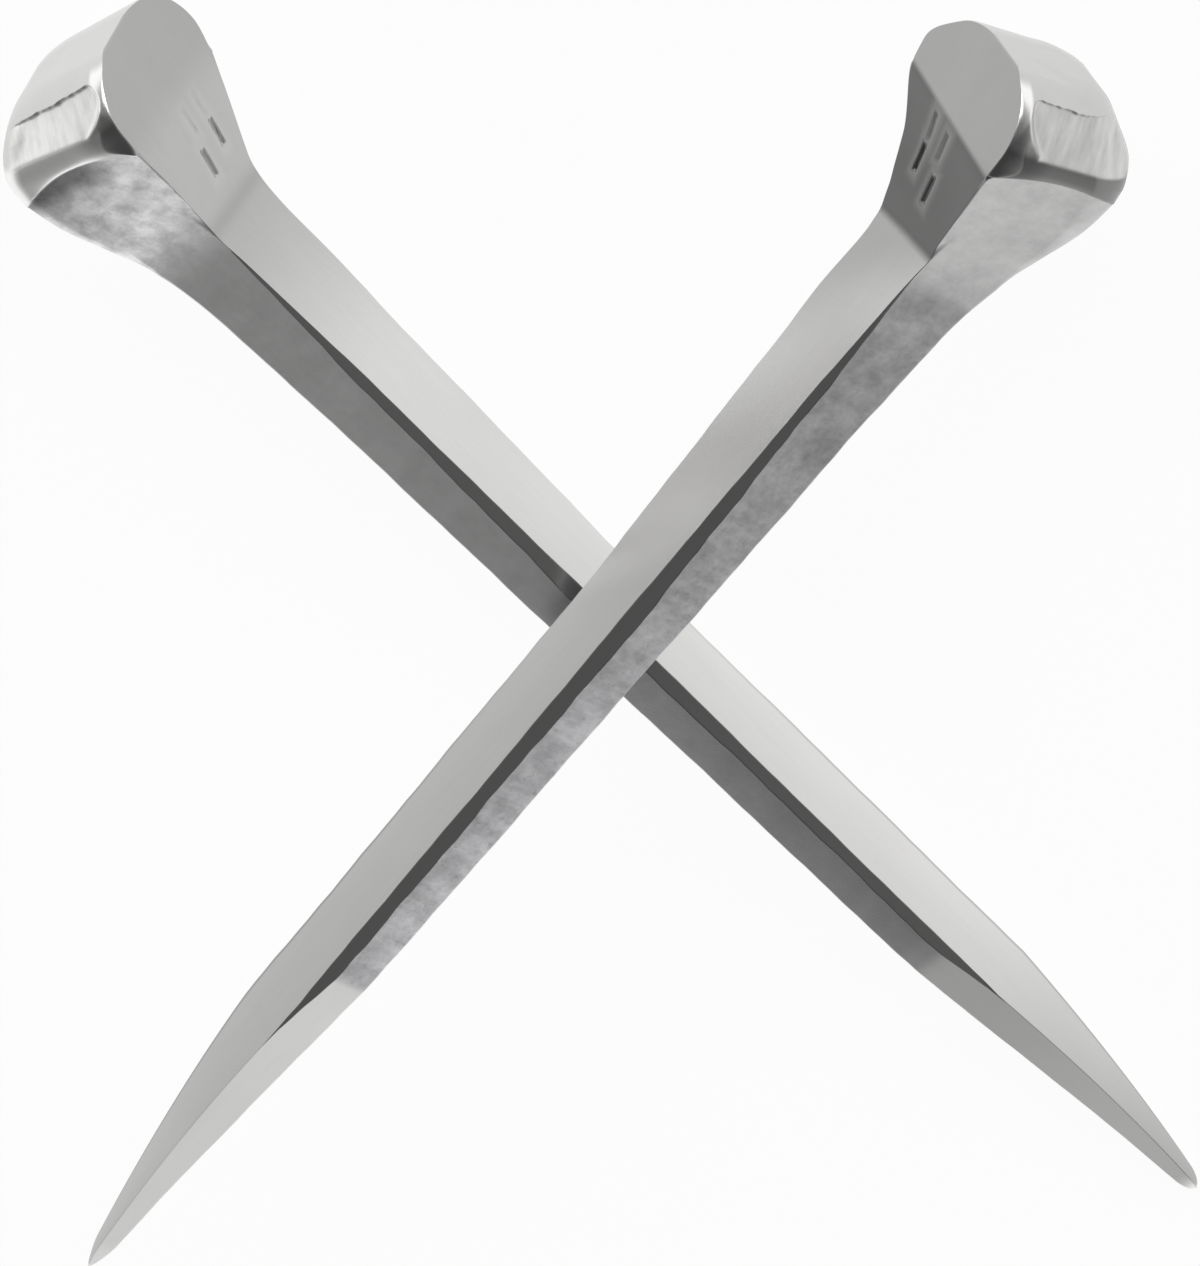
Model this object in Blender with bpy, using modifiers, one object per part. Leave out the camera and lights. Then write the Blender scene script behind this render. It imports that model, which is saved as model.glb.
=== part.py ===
"""Crossed pair of forged horseshoe nails, one resting on the other."""

import bpy
from math import atan, cos, radians, sin, sqrt, tan
from mathutils import Matrix, Vector

MM = 0.001

# Sizes of one nail, measured from the point along its axis
NAIL_LENGTH = 60.0 * MM
HEAD_LENGTH = 8.25 * MM
POINT_LENGTH = 14.2 * MM

# Shank section: width across, thickness from the flat back to the front face
TIP_WIDTH = 0.36 * MM
TIP_THICKNESS = 0.50 * MM
POINT_WIDTH = 3.28 * MM
POINT_THICKNESS = 1.91 * MM
MID_THICKNESS = 2.32 * MM
NECK_WIDTH = 3.92 * MM
NECK_THICKNESS = 3.04 * MM
NECK_BACK = 0.26 * MM
SWELL_LENGTH = 8.4 * MM

# Chamfers on the shank's long corners: the front pair narrow to the point and run out at the neck
FRONT_CHAMFER = 0.44 * MM
POINT_CHAMFER = 0.34 * MM
FADE_CHAMFER = 0.26 * MM
FADE_LENGTH = 7.1 * MM
RUN_OUT = 0.08 * MM
BACK_CHAMFER = 0.16 * MM

# Head: the stamped slope, the leaning block above it and the burrs trimmed on its shoulders
SLOPE_LENGTH = 4.2 * MM
SLOPE_WIDTH = 6.24 * MM
SLOPE_BACK = 0.90 * MM
HEAD_ROOT = 1.2 * MM
ROOT_INSET = 0.13 * MM
LIP_OVERHANG = 0.13 * MM
LIP_HEIGHT = 0.55 * MM
LIP_BAND = 0.25 * MM
HEAD_WIDTH = 7.40 * MM
HEAD_FRONT = 5.25 * MM
HEAD_LEAN = radians(9.0)
HEAD_BACK = 0.95 * MM
CROWN_BACK = 0.75 * MM
CROWN_WIDTH = 3.90 * MM
SHOULDER_DROP = 2.15 * MM
RIM = 0.34 * MM
BURR_FOOT = 0.06 * MM
BURR_TOP_WIDTH = 5.32 * MM
BURR_TOP_DROP = 0.58 * MM
BURR_SETBACK = 0.60 * MM
BURR_END = 1.30 * MM
PUNCH_WIDTH = 0.36 * MM
PUNCH_LENGTH = 0.95 * MM
PUNCH_DEPTH = 0.14 * MM
PUNCH_PITCH = 1.30 * MM

# How the two nails lie: plan heading of each axis, roll about it, crossing point from the tip
LOWER_HEADING = radians(131.5)
LOWER_ROLL = radians(72.0)
LOWER_CROSSING = 30.0 * MM
UPPER_HEADING = radians(47.7)
UPPER_ROLL = radians(-53.7)
UPPER_CROSSING = 29.95 * MM
REST_GAP = 0.30 * MM
STEEPEST = radians(25.0)

# Values that follow from the sizes
NECK = NAIL_LENGTH - HEAD_LENGTH
MIDDLE = 0.5 * (POINT_LENGTH + NECK)
SLOPE_TOP = NECK + SLOPE_LENGTH
LIP = NAIL_LENGTH - SHOULDER_DROP
LIP_WIDTH = HEAD_WIDTH - 2.0 * LIP_OVERHANG
SWELL = NECK - SWELL_LENGTH
FADE = NECK - FADE_LENGTH
OUTSIDE = HEAD_WIDTH + HEAD_FRONT
BURR_LENGTH = HEAD_FRONT + HEAD_BACK - BURR_SETBACK - BURR_END

# Facets of the curved outlines
POINT_STEPS = 5
SHOULDER_STEPS = 5
WELD = 0.001 * MM
FLATNESS = radians(0.5)

# Finish
STEEL = (0.62, 0.63, 0.64, 1.0)
STEEL_ROUGHNESS = 0.3


def clear_scene():
    """Remove everything the start-up file brings."""
    for item in list(bpy.data.objects):
        bpy.data.objects.remove(item, do_unlink=True)


def make_collection(name):
    """Make a collection in the scene."""
    group = bpy.data.collections.new(name)
    bpy.context.scene.collection.children.link(group)
    return group


def blend(low, high, share):
    """Value part of the way from low to high."""
    return low + (high - low) * share


def half_width(z):
    """Half of the shank's width at a height above the point."""
    if z < POINT_LENGTH:
        return 0.5 * blend(TIP_WIDTH, POINT_WIDTH, z / POINT_LENGTH)
    return 0.5 * blend(POINT_WIDTH, NECK_WIDTH, (z - POINT_LENGTH) / (NECK - POINT_LENGTH))


def thickness(z):
    """Thickness of the shank at a height above the point, bowed in to the tip like a parabola."""
    if z < POINT_LENGTH:
        left = 1.0 - z / POINT_LENGTH
        return blend(POINT_THICKNESS, TIP_THICKNESS, left * left)
    if z < MIDDLE:
        return blend(POINT_THICKNESS, MID_THICKNESS, (z - POINT_LENGTH) / (MIDDLE - POINT_LENGTH))
    return blend(MID_THICKNESS, NECK_THICKNESS, (z - MIDDLE) / (NECK - MIDDLE))


def outline_solid(name, points, turn, depth, group, rim=0.0):
    """Extrude a closed outline drawn across the nail; turn swings it about the nail's axis."""
    curve = bpy.data.curves.new(name, "CURVE")
    curve.dimensions = "2D"
    curve.fill_mode = "BOTH"
    curve.extrude = 0.5 * depth - rim
    curve.bevel_depth = rim
    curve.bevel_resolution = 2
    curve.offset = -rim
    spline = curve.splines.new("POLY")
    spline.points.add(len(points) - 1)
    for point, (across, along) in zip(spline.points, points):
        point.co = (across, along, 0.0, 1.0)
    spline.use_cyclic_u = True
    solid = bpy.data.objects.new(name, curve)
    solid.rotation_euler = (radians(90.0), 0.0, radians(turn))
    group.objects.link(solid)
    return to_mesh(solid, group)


def to_mesh(item, group):
    """Swap an object for its evaluated mesh, with its place applied."""
    bpy.context.view_layer.update()
    evaluated = item.evaluated_get(bpy.context.evaluated_depsgraph_get())
    mesh = bpy.data.meshes.new_from_object(evaluated)
    mesh.transform(item.matrix_world)
    name = item.name
    bpy.data.objects.remove(item, do_unlink=True)
    result = bpy.data.objects.new(name, mesh)
    group.objects.link(result)
    weld = result.modifiers.new("weld", "WELD")
    weld.merge_threshold = WELD
    return result


def combine(body, tool, operation):
    """Add a Boolean step to the body."""
    step = body.modifiers.new(operation.lower() + "_" + tool.name, "BOOLEAN")
    step.operation = operation
    step.solver = "EXACT"
    step.object = tool
    tool.hide_render = True
    tool.display_type = "WIRE"


def mirrored(points):
    """Close a right-hand outline with its mirror image."""
    return points + [(-across, along) for across, along in reversed(points)]


def front_outline():
    """Shank seen from the front: sheared point and tapered width, ending inside the head."""
    right = [
        (half_width(0.0), 0.0),
        (half_width(POINT_LENGTH), POINT_LENGTH),
        (half_width(NECK), NECK),
        (half_width(NECK), NECK + HEAD_ROOT),
    ]
    return mirrored(right)


def side_outline():
    """Shank seen from the side: flat back, bowed point and swelling front."""
    levels = [POINT_LENGTH * step / POINT_STEPS for step in range(POINT_STEPS)]
    front = [(thickness(z), z) for z in levels + [POINT_LENGTH, MIDDLE, NECK]]
    top = NECK + HEAD_ROOT
    back = [(-NECK_BACK, top), (-NECK_BACK, NECK), (0.0, SWELL), (0.0, 0.0)]
    return front + [(NECK_THICKNESS, top)] + back


def slope_rise():
    """How far the stamped slope comes forward for each unit along the nail."""
    return (head_front(SLOPE_TOP) - NECK_THICKNESS) / SLOPE_LENGTH


def head_front(z):
    """Distance of the head's leaning front face from the flat back."""
    depth = HEAD_FRONT - CROWN_BACK
    top = CROWN_BACK + depth * cos(HEAD_LEAN)
    return top - (NAIL_LENGTH - depth * sin(HEAD_LEAN) - z) * tan(HEAD_LEAN)


def head_side_outline():
    """Head seen from the side: stamped slope in front, short flare behind."""
    rise = slope_rise()
    low = NECK - HEAD_ROOT
    high = NAIL_LENGTH + HEAD_LENGTH
    return [
        (NECK_THICKNESS - rise * HEAD_ROOT, low),
        (NECK_THICKNESS + rise * (high - NECK), high),
        (CROWN_BACK, high),
        (CROWN_BACK, NAIL_LENGTH),
        (-HEAD_BACK, LIP),
        (-SLOPE_BACK, SLOPE_TOP),
        (ROOT_INSET, low),
    ]


def corner_outline():
    """Shank seen along a diagonal: the chamfer that runs out at the neck and at the point."""
    def corner(z, leg):
        return (half_width(z) + thickness(z) - leg) / sqrt(2.0)

    def heel(z, leg):
        return (leg - half_width(z)) / sqrt(2.0)

    top = NECK + 2.0 * HEAD_ROOT
    below = -HEAD_ROOT
    near_point = corner(POINT_LENGTH, POINT_CHAMFER)
    middle = corner(MIDDLE, FRONT_CHAMFER)
    lean = (middle - near_point) / (MIDDLE - POINT_LENGTH)
    front = [
        (near_point - lean * (POINT_LENGTH - below), below),
        (near_point, POINT_LENGTH),
        (middle, MIDDLE),
        (corner(FADE, FADE_CHAMFER), FADE),
        (corner(NECK, -RUN_OUT), NECK),
        (corner(NECK, -FRONT_CHAMFER), top),
    ]
    back = [
        (heel(NECK, BACK_CHAMFER - NECK_BACK), top),
        (heel(NECK, BACK_CHAMFER - NECK_BACK), NECK),
        (heel(SWELL, BACK_CHAMFER), SWELL),
        (heel(MIDDLE, BACK_CHAMFER), MIDDLE),
        (heel(POINT_LENGTH, BACK_CHAMFER), POINT_LENGTH),
        (heel(0.0, -BACK_CHAMFER), 0.0),
        (heel(0.0, -BACK_CHAMFER), below),
    ]
    return front + back


def shoulder_points():
    """Right-hand outline of the head: flared side, blunt lip and round shoulder up to the crown."""
    points = [
        (0.5 * SLOPE_WIDTH, SLOPE_TOP),
        (0.5 * LIP_WIDTH, LIP - LIP_HEIGHT),
        (0.5 * HEAD_WIDTH, LIP - LIP_BAND),
    ]
    for step in range(SHOULDER_STEPS):
        share = step / (SHOULDER_STEPS - 1)
        across = 0.5 * blend(HEAD_WIDTH, CROWN_WIDTH, share)
        points.append((across, NAIL_LENGTH - SHOULDER_DROP * (1.0 - share) ** 2))
    return points


def head_outline():
    """Head seen from the front, started inside the shank."""
    flare = (0.5 * SLOPE_WIDTH - 0.5 * NECK_WIDTH) / SLOPE_LENGTH
    root = (0.5 * NECK_WIDTH - flare * HEAD_ROOT, NECK - HEAD_ROOT)
    return mirrored([root] + shoulder_points())


def mirror_x(item):
    """Mirror an object across the nail's middle plane."""
    step = item.modifiers.new("other_side", "MIRROR")
    step.use_axis = (True, False, False)
    step.use_mirror_merge = False


def lean_place(item):
    """Turn a head detail with the head, about the back edge of the crown."""
    turn = Matrix.Rotation(-HEAD_LEAN, 4, "X")
    edge = Vector((0.0, CROWN_BACK, NAIL_LENGTH))
    item.data.transform(Matrix.Translation(edge) @ turn @ Matrix.Translation(-edge))


def move_to(item, group):
    """Keep an object in one collection only."""
    for owner in list(item.users_collection):
        owner.objects.unlink(item)
    group.objects.link(item)


def trim_burr(nail, group):
    """Shear the burr off each shoulder, leaving a flat set back below the crown."""
    foot = Vector((0.5 * HEAD_WIDTH, LIP - BURR_FOOT))
    top = Vector((0.5 * BURR_TOP_WIDTH, NAIL_LENGTH - BURR_TOP_DROP))
    along = (top - foot).normalized()
    out = Vector((along.y, -along.x))
    start = foot - along * BURR_FOOT
    section = [start, start + out * HEAD_WIDTH, top + out * HEAD_WIDTH, top]
    points = [tuple(p) for p in section]
    tool = outline_solid(nail.name + "_trim", points, 0.0, BURR_LENGTH, group)
    middle = HEAD_FRONT - BURR_SETBACK - 0.5 * BURR_LENGTH
    tool.data.transform(Matrix.Translation((0.0, middle, 0.0)))
    lean_place(tool)
    mirror_x(tool)
    combine(nail, tool, "DIFFERENCE")


def punch_slope(nail, group):
    """Four plain punched bars on the stamped slope."""
    tilt = Matrix.Rotation(-atan(slope_rise()), 4, "X")
    level = 0.5 * (NECK + SLOPE_TOP)
    centre = Vector((0.0, NECK_THICKNESS + slope_rise() * (level - NECK), level))
    for row in (-0.5, 0.5):
        bpy.ops.mesh.primitive_cube_add(size=1.0)
        tool = bpy.context.object
        tool.name = nail.name + "_punch" + ("_low" if row < 0 else "_high")
        size = Matrix.Diagonal((PUNCH_WIDTH, 2.0 * PUNCH_DEPTH, PUNCH_LENGTH, 1.0))
        spot = Matrix.Translation((0.5 * PUNCH_PITCH, 0.0, row * PUNCH_PITCH))
        tool.data.transform(Matrix.Translation(centre) @ tilt @ spot @ size)
        move_to(tool, group)
        mirror_x(tool)
        combine(nail, tool, "DIFFERENCE")


def make_nail(name, group, tools):
    """Build one nail with its point at the origin, its axis on Z and its back on y = 0."""
    wide = 4.0 * OUTSIDE
    nail = outline_solid(name, front_outline(), 0.0, wide, group)
    side = outline_solid(name + "_side", side_outline(), 90.0, wide, tools)
    combine(nail, side, "INTERSECT")
    corner = outline_solid(name + "_corner_a", corner_outline(), 45.0, wide, tools)
    combine(nail, corner, "INTERSECT")
    flipped = outline_solid(name + "_corner_b", corner_outline(), 45.0, wide, tools)
    flipped.data.transform(Matrix.Scale(-1.0, 4, (1.0, 0.0, 0.0)))
    flipped.data.flip_normals()
    combine(nail, flipped, "INTERSECT")
    depth = 2.0 * HEAD_FRONT
    head = outline_solid(name + "_head", head_outline(), 0.0, depth, tools, RIM)
    head.data.transform(Matrix.Translation((0.0, HEAD_FRONT - 0.5 * depth, 0.0)))
    lean_place(head)
    head_side = outline_solid(name + "_head_side", head_side_outline(), 90.0, wide, tools)
    combine(head, head_side, "INTERSECT")
    combine(nail, head, "UNION")
    trim_burr(nail, tools)
    punch_slope(nail, tools)
    clean = nail.modifiers.new("clean", "DECIMATE")
    clean.decimate_type = "DISSOLVE"
    clean.angle_limit = FLATNESS
    solid = to_mesh(nail, group)
    solid.name = name
    return solid


def steel(name):
    """Plain steel for one nail."""
    material = bpy.data.materials.new(name)
    material.use_nodes = True
    shader = material.node_tree.nodes["Principled BSDF"]
    shader.inputs["Base Color"].default_value = STEEL
    shader.inputs["Metallic"].default_value = 1.0
    shader.inputs["Roughness"].default_value = STEEL_ROUGHNESS
    return material


def pose(heading, pitch, roll):
    """Rotation that lays a nail along a heading, head raised by the pitch, rolled about its axis."""
    lay = Matrix(((0.0, 0.0, 1.0), (1.0, 0.0, 0.0), (0.0, 1.0, 0.0))).to_4x4()
    turn = Matrix.Rotation(heading, 4, "Z")
    rise = Matrix.Rotation(-pitch, 4, "Y")
    spin = Matrix.Rotation(roll, 4, "X")
    return turn @ rise @ spin @ lay


def lowest(points, matrix):
    """Lowest height of some points after a rotation."""
    return min((matrix @ p).z for p in points)


def solve(test, low, high):
    """Root of a rising test between two values, by halving."""
    for _ in range(50):
        middle = 0.5 * (low + high)
        if test(middle) > 0.0:
            high = middle
        else:
            low = middle
    return 0.5 * (low + high)


def long_edges(mesh):
    """End points of the edges that run along the shank."""
    found = []
    for edge in mesh.edges:
        a, b = (mesh.vertices[i].co for i in edge.vertices)
        if (b - a).length > 0.1 * NAIL_LENGTH:
            found.append((a.copy(), b.copy()))
    return found


def height_between(upper, lower):
    """Least height of the upper edges above the lower ones where they cross in plan."""
    least = NAIL_LENGTH
    for a, b in upper:
        for c, d in lower:
            ab = b - a
            cd = d - c
            cross = ab.x * cd.y - ab.y * cd.x
            if abs(cross) < 1e-14:
                continue
            ac = c - a
            s = (ac.x * cd.y - ac.y * cd.x) / cross
            t = (ac.x * ab.y - ac.y * ab.x) / cross
            if 0.0 <= s <= 1.0 and 0.0 <= t <= 1.0:
                least = min(least, (a.z + s * ab.z) - (c.z + t * cd.z))
    return least


def place(matrix, crossing, points):
    """Stand a turned nail on the floor with its crossing point over the origin."""
    middle = matrix @ Vector((0.0, 0.0, crossing))
    return Matrix.Translation((-middle.x, -middle.y, -lowest(points, matrix))) @ matrix


def settle(lower, upper):
    """Lay the lower nail on its point and head, then lean the upper one across it."""
    points = [v.co.copy() for v in lower.data.vertices]
    head = [p for p in points if p.z > NECK]
    tip = [p for p in points if p.z < MIDDLE]
    edges = long_edges(lower.data)

    def lower_test(pitch):
        matrix = pose(LOWER_HEADING, pitch, LOWER_ROLL)
        return lowest(head, matrix) - lowest(tip, matrix)

    lower_pose = pose(LOWER_HEADING, solve(lower_test, -STEEPEST, STEEPEST), LOWER_ROLL)
    lower_place = place(lower_pose, LOWER_CROSSING, points)
    lower_edges = [(lower_place @ a, lower_place @ b) for a, b in edges]

    def upper_place(drop):
        return place(pose(UPPER_HEADING, -drop, UPPER_ROLL), UPPER_CROSSING, head)

    def upper_test(drop):
        matrix = upper_place(drop)
        upper_edges = [(matrix @ a, matrix @ b) for a, b in edges]
        return height_between(upper_edges, lower_edges) - REST_GAP

    upper.matrix_world = upper_place(solve(upper_test, 0.0, STEEPEST))
    lower.matrix_world = lower_place
    centre_pair([lower, upper])


def centre_pair(items):
    """Slide both nails so that the pair stands centred over the origin."""
    spots = [item.matrix_world @ v.co for item in items for v in item.data.vertices]
    middle_x = 0.5 * (min(p.x for p in spots) + max(p.x for p in spots))
    middle_y = 0.5 * (min(p.y for p in spots) + max(p.y for p in spots))
    for item in items:
        item.matrix_world = Matrix.Translation((-middle_x, -middle_y, 0.0)) @ item.matrix_world


def main():
    """Build both nails and lay them in place."""
    clear_scene()
    parts = make_collection("crossed_horseshoe_nails")
    tools = make_collection("cutters")
    lower = make_nail("lower_nail", parts, tools)
    upper = make_nail("upper_nail", parts, tools)
    for nail in (lower, upper):
        nail.data.materials.clear()
        nail.data.materials.append(steel(nail.name + "_steel"))
    settle(lower, upper)


main()
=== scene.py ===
"""Crossed horseshoe nails: forged steel surfaces, stage and camera."""

from math import cos, radians, sin, tan
from types import SimpleNamespace

import bpy
import numpy as np
from bpy.props import FloatProperty, FloatVectorProperty, IntProperty, PointerProperty
from mathutils import Matrix, Vector


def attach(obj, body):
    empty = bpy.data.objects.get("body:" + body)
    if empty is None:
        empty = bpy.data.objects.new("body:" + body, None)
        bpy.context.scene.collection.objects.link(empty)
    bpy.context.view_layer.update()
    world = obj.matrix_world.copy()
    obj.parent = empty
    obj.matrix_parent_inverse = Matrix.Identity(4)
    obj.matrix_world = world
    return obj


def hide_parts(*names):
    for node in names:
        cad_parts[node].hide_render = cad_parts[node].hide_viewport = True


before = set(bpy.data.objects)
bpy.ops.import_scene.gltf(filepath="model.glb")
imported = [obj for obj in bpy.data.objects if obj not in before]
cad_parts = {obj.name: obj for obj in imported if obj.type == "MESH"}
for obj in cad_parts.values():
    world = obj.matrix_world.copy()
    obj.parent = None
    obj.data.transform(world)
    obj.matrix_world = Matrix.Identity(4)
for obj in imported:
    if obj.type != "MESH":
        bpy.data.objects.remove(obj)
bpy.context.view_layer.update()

bl_info = {
    "name": "Crossed horseshoe nails",
    "version": (1, 0, 0),
    "blender": (4, 5, 0),
    "location": "View3D > Sidebar > Nails",
    "description": "Forged horseshoe nails lying crossed on a white table",
    "category": "Add Mesh",
}

MM = 0.001


def length(name, text, millimetres):
    """A size in metres that is written in millimetres."""
    return FloatProperty(name=name, description=text, default=millimetres * MM, unit="LENGTH", precision=5)


class NailSizes(bpy.types.PropertyGroup):
    """Sizes of one nail, from the point along its axis."""
    nail: length("Length", "Point to crown", 60.0)
    head: length("Head", "Neck to crown", 8.25)
    point: length("Point", "Sheared part of the shank", 14.2)
    tip_thick: length("Tip thickness", "Thickness at the very tip", 0.50)
    point_width: length("Point width", "Width where the shear ends", 3.28)
    point_thick: length("Point thickness", "Thickness where the shear ends", 1.91)
    mid_thick: length("Middle thickness", "Thickness half way up the shank", 2.32)
    neck_width: length("Neck width", "Width under the head", 3.92)
    neck_thick: length("Neck thickness", "Thickness under the head", 3.04)
    neck_back: length("Neck back", "How far the back swells at the neck", 0.26)
    swell: length("Swell", "Length over which the back swells", 8.4)
    chamfer: length("Chamfer", "Front corner chamfer at mid length", 0.44)
    point_chamfer: length("Point chamfer", "Front corner chamfer at the point", 0.295)
    fade_chamfer: length("Fade chamfer", "Front chamfer where it starts to run out", 0.26)
    fade: length("Fade", "Length over which the front chamfer runs out", 7.1)
    back_chamfer: length("Back chamfer", "Chamfer of the back corners", 0.16)
    slope: length("Slope", "Length of the stamped slope", 4.2)
    slope_back: length("Slope back", "Back flare at the top of the slope", 0.90)
    lip_width: length("Lip width", "Width where the flared sides end", 7.14)
    lip_height: length("Lip height", "From the end of the flared sides up to the shoulder", 0.52)
    lip_band: length("Lip band", "From the widest place up to the shoulder", 0.25)
    face_width: length("Face width", "Widest part of the leaning front face", 6.84)
    face_inset: length("Face inset", "From the flared sides in to the front face", 0.08)
    head_width: length("Head width", "Widest part of the head", 7.40)
    head_front: length("Head front", "Front face from the flat back", 5.25)
    head_back: length("Head back", "How far the head stands behind the flat back", 0.95)
    crown_back: length("Crown back", "Back edge of the crown", 0.75)
    shoulder: length("Shoulder", "Drop from the crown to the lip", 2.15)
    rim: length("Rim", "Rounding of the crown's front rim", 0.24)


class NailFinish(bpy.types.PropertyGroup):
    """Colour and gloss of the steel."""
    colour: FloatVectorProperty(
        name="Steel", description="Hue of the steel, before the shade of each face",
        subtype="COLOR", size=3, min=0.0, max=1.0, default=(1.0, 0.995, 0.985))
    gloss: FloatProperty(
        name="Roughness", description="Roughness of the drawn faces",
        subtype="FACTOR", min=0.0, max=1.0, default=0.24)
    seed: IntProperty(name="Seed", description="Seed of the forged relief", default=7)


class StageLook(bpy.types.PropertyGroup):
    """Table, light and camera."""
    table_size: FloatProperty(
        name="Table", description="Side of the table", unit="LENGTH", default=3.0)
    table_colour: FloatVectorProperty(
        name="Table colour", description="Colour of the table",
        subtype="COLOR", size=3, min=0.0, max=1.0, default=(0.9, 0.9, 0.9))
    key_power: FloatProperty(name="Key light", description="Power of the soft light", default=3.5)
    focal: FloatProperty(name="Lens", description="Focal length in millimetres", default=343.98)


# Where each nail lies: heading, pitch and roll of its axis in degrees, place of its tip in millimetres
LOWER_PLACE = {"heading": 131.5, "pitch": 3.02, "roll": 72.0, "tip": (19.516, -23.932, 0.760)}
UPPER_PLACE = {"heading": 47.7, "pitch": -6.088, "roll": -53.7, "tip": (-20.379, -23.522, 9.659)}

# How the nails differ: the lower nail's value, then the upper nail's, in millimetres where it is a length
LOOKS = {
    # Side that faces the camera: 1 for +x, -1 for -x
    "near": (1.0, -1.0),
    # Brightness of each face, and shares by which it changes; each is partly the steel's own tone and
    # partly painted light and shade for how that face catches the light
    "front": (0.71, 0.46),
    # Painted light and shade: the front's brightness changes towards the tip and the neck
    "front_tip": (0.64, 1.12),  # share of it at the tip
    "front_neck": (0.67, 0.95),  # share of it at the neck
    "front_gain": (0.0, 0.58),  # painted light: brighter stretch above the crossing
    "neck_band": (0.14, 0.0),  # painted shade in the crease where the slope starts
    # Painted light and shade: the shank's sides change from the first brightness to the second along the
    # nail
    "side_low": (0.46, 0.7),  # side near the point
    "side_top": (0.63, 0.46),  # side near the head
    "stripe": (0.6, 0.62),  # front chamfer
    "back": (0.45, 0.45),
    "stain": (0.0, 0.9),  # dull patch of the hidden faces beside the crossing, darkened with painted shade
    "facet": (0.72, 0.78),  # sheared point
    # Painted light and shade: the facet's brightness changes towards the tip
    "facet_tip": (1.2, 0.98),  # share of it at the tip
    # The upper nail's stamped slope is darkened with painted shade
    "slope": (0.49, 0.145),
    "halo": (0.06, 0.5),  # brighter ground round the bars
    "face": (0.43, 0.4),
    "crown": (0.67, 0.61),
    "flank": (0.92, 0.56),  # flared side of the head
    "bruise": (0.72, 0.06),  # painted shade: darker patch on the flank under the lip
    # The upper nail's lip is darkened with painted shade in the groove under the burr
    "lip": (0.95, 0.22),
    "corner": (0.42, 0.35),  # front corner of the head
    "burr": (0.98, 0.66),
    "polish": (0.62, 0.45),  # width of the painted highlight along the front rim
    # Surface: mottling of the shank and of the head, brushing, depth of relief and unevenness of the edges
    "mottle": (0.12, 0.5),
    "flank_mottle": (0.6, 0.22),
    "brush": (0.1, 0.8),
    "relief": (0.012, 0.016),
    "uneven": (0.008, 0.01),
    # Head
    "fold": (0.3, 0.1),  # rounding at the slope's foot
    "brow": ((0.6, 1.0), (0.1, 0.15)),  # rounding at its top, and reach of its shade
    "slope_skew": (0.0, 0.6),  # how much lower it starts on the far side
    "mark_shift": ((0.05, 0.05), (-0.15, 0.0)),  # place of the bars, across and along
    "skew": (0.08, 0.05),  # tilt of the crown
    "crown_drop": (0.0, 0.03),  # drop of the crown
    "crown_inset": (0.0, 0.6),  # how far its back edge is set in
    "arch": (2.4, 1.5),  # power of the crown's curve at the back
    "saddle": (0.085, 0.062),  # curve of the line under the lip
    "lip_rise": ((0.15, 0.5), (0.1, 0.18)),  # height of the lip in front and behind
    "heel": (0.85, 1.75),  # size of the back corners
    "heel_power": (2.0, 1.6),  # their form, from chamfer to round
    "dome_heel": ((1.2, 0.72), (2.2, 1.4)),  # their depth and width on the dome
    "back_swell": (0.28, 0.3),  # how far the back stands out
    "flare_start": (51.1, 49.6),  # where the flank's finish starts
    "far_waist": (0.14, 0.29),  # how far the far side stands in
    "far_bulge": (0.25, 0.55),  # and stands out
    "bulge_span": ((55.6, 58.4, 59.3, 60.2), (54.4, 56.4, 57.5, 59.4)),  # and where it does
    # Point
    "run_out": (0.03, 0.02),  # how far past the corner the chamfer ends at the neck
    "shear": (13.7, 15.9),  # height of the shear cut
    "shear_soft": (0.07, 0.02),  # softness of its edge
    "tip": (0.36, 0.2),  # width of the tip
    "tip_bend": (0.21, -0.17),  # bend to the far side
    "nose": ((0.7, 2.0), (1.2, 1.6)),  # reach and power of its rounding
    # Near burr
    "burr_top": ((2.37, 59.53), (2.43, 59.55)),  # half width and level of its top
    "burr_rake": ((0.84, 1.05), (0.78, 0.8)),  # slant in front and behind
    "burr_front": ((3.0, 3.75), (3.0, 3.72)),  # front edge, at its foot and top
    "burr_back": ((-0.6, -0.05), (-0.75, -0.2)),  # back edge, at its foot and top
    "burr_bow": (0.5, 0.3),  # bow of the front edge
}
LOWER_LOOK = SimpleNamespace(**{name: pair[0] for name, pair in LOOKS.items()})
UPPER_LOOK = SimpleNamespace(**{name: pair[1] for name, pair in LOOKS.items()})

# Rows up the nail and columns round its section
POINT_ROWS = 44
SHEAR_ROWS = 28
SHANK_ROWS = 82
NECK_ROWS = 80
LIP_ROWS = 58
DOME_ROWS = 90
CAP_ROWS = 12
BACK_COLUMNS = 12
HEEL_COLUMNS = 8
SIDE_COLUMNS = 54
EDGE_COLUMNS = 12
FRONT_COLUMNS = 70

# Share of the half width where the front's outermost columns lie, which keeps its edges sharp
EDGE_GUARD = 0.998

# How far the tip's last point reaches past its first row
TIP_REACH = 0.06

# Faces of a nail
BACK, EDGE, SIDE, FRONT = range(4)


def blend(low, high, share):
    """Value part of the way from low to high."""
    return low + (high - low) * share


def ramp(value, low, high):
    """Smooth step from 0 at low to 1 at high."""
    share = np.clip((value - low) / (high - low), 0.0, 1.0)
    return share * share * (3.0 - 2.0 * share)


def band(value, start, full, hold, end):
    """Smooth rise from 0 to 1, and fall back to 0."""
    return ramp(value, start, full) * (1.0 - ramp(value, hold, end))


def ripple(place, waves, start=0.0):
    """Sum of sine waves, each with its rate, size and shift."""
    return sum(size * np.sin(rate * place + shift + start) for rate, size, shift in waves)


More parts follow.
